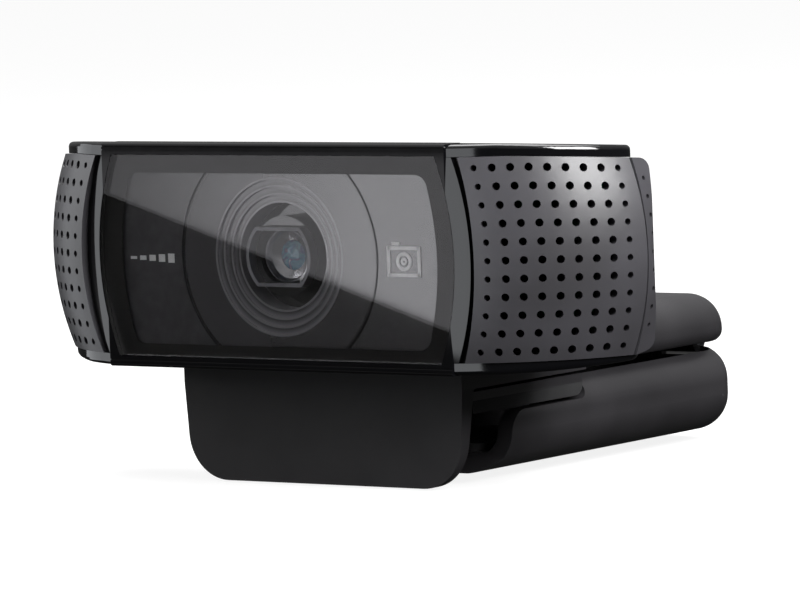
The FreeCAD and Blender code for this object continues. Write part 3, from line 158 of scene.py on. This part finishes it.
def glow_card(name, corners, code, strength, through_glass=False):
    """A glowing card that shows only in glossy surfaces, and through clear ones when it is asked to."""
    mesh = bpy.data.meshes.new(name)
    work = bmesh.new()
    work.faces.new([work.verts.new(corner) for corner in corners])
    work.to_mesh(mesh)
    work.free()
    card = bpy.data.objects.new(name, mesh)
    bpy.context.collection.objects.link(card)
    card.visible_camera = False
    card.visible_diffuse = False
    card.visible_shadow = False
    card.visible_transmission = through_glass
    material = bpy.data.materials.new(name + "_glow")
    material.use_nodes = True
    tree = material.node_tree
    tree.nodes.clear()
    glow = add_node(tree, "ShaderNodeEmission", {"Color": linear(code), "Strength": strength})
    add_node(tree, "ShaderNodeOutputMaterial", links={"Surface": (glow, "Emission")})
    mesh.materials.append(material)


def make_reflectors(eye):
    """Bright cards: one crosses the window with a straight lower edge, two light the bezel and grilles."""
    front = WINDOW_LOW.y
    mirror_eye = Vector((eye.x, 2 * front - eye.y, eye.z))
    card_distance = 0.11
    reach = card_distance / (mirror_eye.y - front)
    half, top = 31.0 * MM, WINDOW_HIGH.z + 0.05 * MM
    edge_left, edge_right = AXIS_Z + 9.1 * MM, AXIS_Z - 10.15 * MM
    window_points = [(-half, edge_left), (half, edge_right), (half, top), (-half, top)]
    corners = []
    for x, z in window_points:
        point = Vector((x, front, z))
        corners.append(point + (point - mirror_eye) * reach)
    glow_card("window_card", corners, "#fbfaff", 0.8, through_glass=True)
    glow_card("front_card", [(-0.05, -0.40, -0.10), (0.10, -0.40, -0.10),
                             (0.10, -0.40, 0.16), (-0.05, -0.40, 0.16)], "#f4f7fb", 2.4)
    glow_card("left_card", [(-0.40, -0.18, -0.12), (-0.40, 0.06, -0.12),
                            (-0.40, 0.06, 0.20), (-0.40, -0.18, 0.20)], "#f4f7fb", 1.5)


# ---------------------------------------------------------------- finishes
def new_material(name, settings):
    """A material with one principled shader; the caller adds what varies over the surface."""
    material = bpy.data.materials.new(name)
    material.use_nodes = True
    tree = material.node_tree
    tree.nodes.clear()
    shade = add_node(tree, "ShaderNodeBsdfPrincipled", settings)
    add_node(tree, "ShaderNodeOutputMaterial", links={"Surface": (shade, "BSDF")})
    return material, tree, shade


def grain(tree, shade, size, roughness, swing, bump, detail=3.0):
    """Fine surface grain of a real size: it varies the roughness and raises a small bump."""
    place = add_node(tree, "ShaderNodeTexCoord")
    noise = add_node(tree, "ShaderNodeTexNoise", {"Scale": 1 / size, "Detail": detail, "Roughness": 0.6},
                     {"Vector": (place, "Object")})
    rough = add_node(tree, "ShaderNodeMapRange",
                     {"To Min": roughness - swing, "To Max": roughness + swing}, {"Value": (noise, "Fac")})
    tree.links.new(rough.outputs["Result"], shade.inputs["Roughness"])
    if bump:
        lift = add_node(tree, "ShaderNodeBump", {"Strength": bump, "Distance": size * 0.25},
                        {"Height": (noise, "Fac")})
        tree.links.new(lift.outputs["Normal"], shade.inputs["Normal"])
    return place, noise


def tint(tree, shade, place, size, dark, light):
    """Slow colour variation across a moulding."""
    cloud = add_node(tree, "ShaderNodeTexNoise", {"Scale": 1 / size, "Detail": 2.0},
                     {"Vector": (place, "Object")})
    ramp = add_node(tree, "ShaderNodeValToRGB", links={"Fac": (cloud, "Fac")})
    ramp.color_ramp.elements[0].position = 0.35
    ramp.color_ramp.elements[0].color = linear(dark)
    ramp.color_ramp.elements[1].position = 0.65
    ramp.color_ramp.elements[1].color = linear(light)
    tree.links.new(ramp.outputs["Color"], shade.inputs["Base Color"])


def piano_black_abs():
    """Highly polished moulded ABS: deep black with mirror-like streaks and a trace of hairline wear."""
    material, tree, shade = new_material("piano_black_abs", {"IOR": 1.53})
    place, _ = grain(tree, shade, 1.5 * MM, 0.07, 0.03, 0.0)
    tint(tree, shade, place, 12 * MM, "#08080a", "#0c0c0e")
    return material


def satin_abs(name, dark, light, roughness, size, bump):
    """Spark-eroded moulded ABS: an even satin with fine grain."""
    material, tree, shade = new_material(name, {"IOR": 1.5})
    place, _ = grain(tree, shade, size, roughness, 0.05, bump)
    tint(tree, shade, place, 9 * MM, dark, light)
    return material


def painted_sheen_coat(tree, shade, place):
    """Clear coat over the mouldings behind the window, its weight painted to be fuller towards the right: a
    painted sheen.
    """
    split = add_node(tree, "ShaderNodeSeparateXYZ", links={"Vector": (place, "Object")})
    # coat weight from 0.1 at the left to 1.0 at the right: painted sheen
    weight = add_node(tree, "ShaderNodeMapRange",
                      {"From Min": -22 * MM, "From Max": 12 * MM, "To Min": 0.1, "To Max": 1.0},
                      {"Value": (split, "X")})
    tree.links.new(weight.outputs["Result"], shade.inputs["Coat Weight"])


def spark_eroded_plate():
    """Moulded plate behind the window: dark and matt under a clear coat that carries a painted sheen, with
    faint mottling.
    """
    material, tree, shade = new_material("spark_eroded_plate", {
        "IOR": 1.45, "Specular IOR Level": 0.2, "Coat Roughness": 0.05, "Coat IOR": 2.8})
    place, _ = grain(tree, shade, 0.9 * MM, 0.6, 0.08, 0.0)
    tint(tree, shade, place, 1.6 * MM, "#38373a", "#403f42")
    painted_sheen_coat(tree, shade, place)
    return material


def lens_surround():
    """The same moulding round the lens, under the same painted sheen: pale lines on the ring edges and beside
    the outer seam are painted highlights, and the black well inside them is painted shade.
    """
    material, tree, shade = new_material("lens_surround", {
        "IOR": 1.45, "Specular IOR Level": 0.2, "Coat Roughness": 0.05, "Coat IOR": 2.8})
    place, _ = grain(tree, shade, 0.9 * MM, 0.6, 0.08, 0.0)
    # the same painted sheen as on the face plate
    painted_sheen_coat(tree, shade, place)
    centre = add_node(tree, "ShaderNodeMapping", {"Location": (0, 0, -AXIS_Z)}, {"Vector": (place, "Object")})
    flat = add_node(tree, "ShaderNodeVectorMath", {"operation": "MULTIPLY"}, {"Vector": (centre, "Vector")})
    flat.inputs[1].default_value = (1, 0, 1)
    radius = add_node(tree, "ShaderNodeVectorMath", {"operation": "LENGTH"}, {"Vector": (flat, "Vector")})
    share = add_node(tree, "ShaderNodeMapRange", {"From Max": DISC_RADIUS}, {"Value": (radius, "Value")})
    ramp = add_node(tree, "ShaderNodeValToRGB", links={"Fac": (share, "Result")})
    stops = ramp.color_ramp.elements
    painted_shade_well = RINGS[-1] / DISC_RADIUS
    line = 0.1 * MM / DISC_RADIUS
    # black from the centre out to the innermost ring: painted shade in the recess round the lens
    stops[0].position, stops[0].color = 0.0, linear("#050505")
    stops[1].position, stops[1].color = 1.0, linear("#121113")
    # pale lines at each ring edge and just inside the disc's outer seam: painted highlights
    painted_light_stops = [(painted_shade_well - line, "#050505")]
    for ring in reversed(RINGS):
        edge = ring / DISC_RADIUS
        painted_light_stops += [(edge, "#77767b"), (edge + line * 2, "#77767b"), (edge + line * 3, "#39383b")]
    painted_light_stops += [(1 - line * 3, "#3c3b3e"), (1 - line * 2.5, "#121113")]
    for position, code in painted_light_stops:
        stops.new(position).color = linear(code)
    tree.links.new(ramp.outputs["Color"], shade.inputs["Base Color"])
    return material


def clear_acrylic():
    """Cast acrylic window: clear, with a sharp gloss."""
    return new_material("clear_acrylic", {
        "Base Color": linear("#ffffff"), "Transmission Weight": 1.0, "Roughness": 0.0, "IOR": 1.49})[0]


def border_ink():
    """Black ink printed on the back of the window."""
    material, tree, shade = new_material("border_ink", {"IOR": 1.45, "Specular IOR Level": 0.2})
    place, _ = grain(tree, shade, 0.5 * MM, 0.5, 0.05, 0.0)
    tint(tree, shade, place, 6 * MM, "#0d0c0c", "#12110f")
    return material


def coated_glass():
    """Coated front glass: teal towards one side, blue and violet towards the other."""
    material, tree, shade = new_material("coated_glass", {"Roughness": 0.04, "IOR": 1.6, "Coat Weight": 1.0,
                                                          "Coat Roughness": 0.02})
    place = add_node(tree, "ShaderNodeTexCoord")
    centre = add_node(tree, "ShaderNodeMapping", {"Location": (0, 0, -AXIS_Z), "vector_type": "POINT"},
                      {"Vector": (place, "Object")})
    wave = add_node(tree, "ShaderNodeTexNoise", {"Scale": 1 / (1.3 * MM), "Detail": 1.0, "Distortion": 0.8},
                    {"Vector": (centre, "Vector")})
    ramp = add_node(tree, "ShaderNodeValToRGB", links={"Fac": (wave, "Fac")})
    stops = ramp.color_ramp.elements
    stops[0].position, stops[0].color = 0.30, linear("#4f5f86")
    stops[1].position, stops[1].color = 0.46, linear("#5c93a8")
    for position, code in ((0.56, "#4f7f9e"), (0.66, "#6d6a88"), (0.78, "#a9c8cc")):
        stop = stops.new(position)
        stop.color = linear(code)
    tree.links.new(ramp.outputs["Color"], shade.inputs["Base Color"])
    return material


def metal(name, dark, light, roughness, size, bump=0.0):
    """Bare metal with fine machining or rolling marks."""
    material, tree, shade = new_material(name, {"Metallic": 1.0})
    place, _ = grain(tree, shade, size, roughness, 0.06, bump)
    tint(tree, shade, place, 3 * MM, dark, light)
    return material


def moulded_rubber():
    """Soft thermoplastic rubber: very matt, with a powdery grain."""
    material, tree, shade = new_material("moulded_rubber", {"IOR": 1.45, "Specular IOR Level": 0.35})
    place, _ = grain(tree, shade, 0.25 * MM, 0.75, 0.08, 0.25)
    tint(tree, shade, place, 6 * MM, "#232324", "#2b2b2c")
    return material


def solder_mask():
    """Green solder mask over copper tracks."""
    material, tree, shade = new_material("solder_mask", {"IOR": 1.5})
    place, _ = grain(tree, shade, 0.4 * MM, 0.35, 0.05, 0.0)
    tint(tree, shade, place, 1.5 * MM, "#0b3a22", "#14512f")
    return material


def plain_plastic(name, dark, light):
    """Moulded insulator: even colour and a dull gloss."""
    material, tree, shade = new_material(name, {"IOR": 1.5})
    place, _ = grain(tree, shade, 0.5 * MM, 0.45, 0.06, 0.1)
    tint(tree, shade, place, 3 * MM, dark, light)
    return material


def frosted_guide():
    """Frosted light guide."""
    material, tree, shade = new_material("frosted_guide", {"Transmission Weight": 0.6, "IOR": 1.49})
    place, _ = grain(tree, shade, 0.3 * MM, 0.4, 0.05, 0.0)
    tint(tree, shade, place, 3 * MM, "#cfd6da", "#e2e7ea")
    return material


def silver_print():
    """Pale silver pad print."""
    material, tree, shade = new_material("silver_print", {
        "IOR": 1.5, "Coat Weight": 1.0, "Coat Roughness": 0.05, "Coat IOR": 2.6})
    place, _ = grain(tree, shade, 0.2 * MM, 0.4, 0.05, 0.0)
    tint(tree, shade, place, 2 * MM, "#d9d9db", "#e6e6e8")
    return material


def dress_nodes():
    """Gives every CAD node its finish."""
    gloss = piano_black_abs()
    grille = satin_abs("satin_grey_abs", "#3a393c", "#424145", 0.36, 0.25 * MM, 0.10)
    clip = satin_abs("satin_black_abs", "#232224", "#2a292b", 0.38, 0.25 * MM, 0.10)
    dark = plain_plastic("black_nylon", "#151516", "#1c1c1d")
    steel = metal("plain_steel", "#8d9094", "#a4a7ab", 0.30, 0.3 * MM)
    rubber, board = moulded_rubber(), solder_mask()
    glass = coated_glass()
    finishes = {
        gloss: ("front_bezel", "top_cover", "bottom_cover"),
        grille: ("grille_left", "grille_right", "rear_housing"),
        clip: ("clip_base", "arm_plate", "leg_shell", "pad_carrier", "tilt_bracket"),
        spark_eroded_plate(): ("face_plate",),
        lens_surround(): ("lens_disc",),
        clear_acrylic(): ("window_pane",),
        glass: ("front_lens", "rear_lens"),
        metal("anodised_aluminium", "#77777a", "#8c8c90", 0.34, 0.3 * MM, 0.03): ("lens_ring",),
        metal("turned_aluminium", "#a4a4a8", "#bdbdc2", 0.22, 0.3 * MM, 0.03): ("lens_barrel",),
        steel: ("focus_housing", "focus_magnets", "focus_springs", "board_shield", "microphones", "tilt_pin",
                "tilt_washers", "leg_pin", "housing_screws", "board_screws", "sensor_screws",
                "bracket_screws", "arm_screws"),
        metal("enamelled_copper", "#8c4a24", "#a85e30", 0.35, 0.1 * MM, 0.2): ("focus_coil",),
        metal("turned_brass", "#a8843c", "#bf9a4c", 0.28, 0.2 * MM, 0.05): ("tripod_insert",),
        rubber: ("cable_gland", "microphone_boots", "lip_pad", "shelf_pad", "leg_liner"),
        board: ("sensor_board", "main_board"),
        dark: ("chassis", "focus_carrier", "video_processor"),
        plain_plastic("ivory_nylon", "#c9c6ba", "#d8d5ca"): ("cable_socket", "status_lights"),
        plain_plastic("sensor_cover", "#15131f", "#1f1b2c"): ("image_sensor",),
        frosted_guide(): ("light_guides",),
    }
    for material, names in finishes.items():
        for name in names:
            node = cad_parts[name]
            node.data.materials.clear()
            node.data.materials.append(material)


# ---------------------------------------------------------------- fine pieces
def finish_piece(name, work, material, body):
    """Turns a bmesh into a piece that rides on a body."""
    bmesh.ops.recalc_face_normals(work, faces=work.faces)
    mesh = bpy.data.meshes.new(name)
    work.to_mesh(mesh)
    work.free()
    mesh.materials.append(material)
    piece = bpy.data.objects.new(name, mesh)
    bpy.context.collection.objects.link(piece)
    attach(piece, body)
    return piece


def bowed_loop(half, low, high, round_radius, count=24):
    """Points round a front outline with bowed sides and rounded corners, starting at the lower right."""
    def side(z):
        return half - (SIDE_BOW - math.sqrt(SIDE_BOW ** 2 - (z - AXIS_Z) ** 2))

    points = []
    for end in (low, high):
        inward = 1 if end == low else -1
        z_start = end + inward * round_radius
        x_start = side(z_start)
        arc = [(x_start - round_radius * (1 - math.cos(a)), z_start - inward * round_radius * math.sin(a))
               for a in (math.pi / 2 * i / 8 for i in range(9))]
        points += list(reversed(arc)) if end == low else arc
        if end == low:
            span = high - low - 2 * round_radius
            points += [(side(low + round_radius + span * i / count), low + round_radius + span * i / count)
                       for i in range(1, count)]
    return points + [(-x, z) for x, z in reversed(points)]


def make_window_border(material):
    """Printed border behind the window: from the window's edge to the plate's outline."""
    lap, ink = 0.15 * MM, 0.03 * MM
    back = WINDOW_HIGH.y + HAIR
    outer = bowed_loop(WINDOW_HIGH.x - HAIR, WINDOW_LOW.z + HAIR, WINDOW_HIGH.z - HAIR, 0.3 * MM)
    inner = bowed_loop(PLATE_HIGH.x - lap, PLATE_LOW.z + lap, PLATE_HIGH.z - lap, 1.9 * MM)
    work = bmesh.new()
    rings = []
    for loop in (outer, inner):
        verts = [work.verts.new((x, back, z)) for x, z in loop]
        rings.append([work.edges.new((verts[i - 1], verts[i])) for i in range(len(verts))])
    bmesh.ops.bridge_loops(work, edges=rings[0] + rings[1])
    bmesh.ops.solidify(work, geom=work.faces[:], thickness=ink)
    finish_piece("window_border", work, material, "head")


def make_mark(name, material, centre_x, centre_z, boxes, rings, depth):
    """A small raised mark on the face plate, made of bars and rings."""
    face = PLATE_LOW.y
    work = bmesh.new()
    for x, z, wide, tall in boxes:
        spot = Matrix.Translation((centre_x + x, face - depth / 2, centre_z + z))
        bmesh.ops.create_cube(work, size=1.0, matrix=spot @ Matrix.Diagonal((wide, depth, tall, 1)))
    for x, z, radius, thick in rings:
        profile = [(radius - thick, -depth), (radius, -depth), (radius, 0), (radius - thick, 0)]
        middle = Vector((centre_x + x, face, centre_z + z))
        verts = [work.verts.new(middle + Vector((r, y, 0))) for r, y in profile]
        edges = [work.edges.new((verts[i - 1], verts[i])) for i in range(4)]
        bmesh.ops.spin(work, geom=verts + edges, cent=middle, axis=(0, 1, 0), angle=2 * math.pi,
                       steps=32, use_merge=True)
    finish_piece(name, work, material, "head")


def make_marks():
    """Generic pictograms in place of lettering: a camera outline and a row of tally bars."""
    silver = silver_print()
    line = 0.42 * MM
    wide, tall = 4.6 * MM, 3.3 * MM
    frame_bars = [(0, tall / 2, wide, line), (0, -tall / 2, wide, line),
                  (-wide / 2, 0, line, tall + line), (wide / 2, 0, line, tall + line),
                  (-wide / 4, tall / 2 + line * 1.3, wide / 4, line * 0.9)]
    make_mark("camera_emblem", silver, 19.2 * MM, AXIS_Z - 0.3 * MM, frame_bars,
              [(0, 0, 1.15 * MM, line), (0, 0, 0.45 * MM, 0.3 * MM)], 0.12 * MM)
    bars = []
    for number in range(5):
        bars.append(((number - 2) * 1.5 * MM, 0, 1.0 * MM, (0.35 + 0.2 * number) * MM))
    make_mark("tally_bars", silver, -20.0 * MM, AXIS_Z - 0.4 * MM, bars, [], 0.03 * MM)


def main():
    bpy.context.scene.view_settings.view_transform = "Standard"
    eye = make_camera()
    make_world()
    make_floor()
    area_light("top_softbox", (0.0, 0.02, 0.55), (0.0, 0.0, 0.03), 0.6, 0.4, 6.0)
    area_light("right_softbox", (0.60, -0.15, 0.38), (0.03, -0.02, 0.03), 0.35, 0.3, 8.0)
    area_light("left_softbox", (-0.60, -0.30, 0.25), (-0.03, -0.02, 0.03), 0.3, 0.3, 2.0)
    make_reflectors(eye)
    dress_nodes()
    make_window_border(border_ink())
    make_marks()


main()
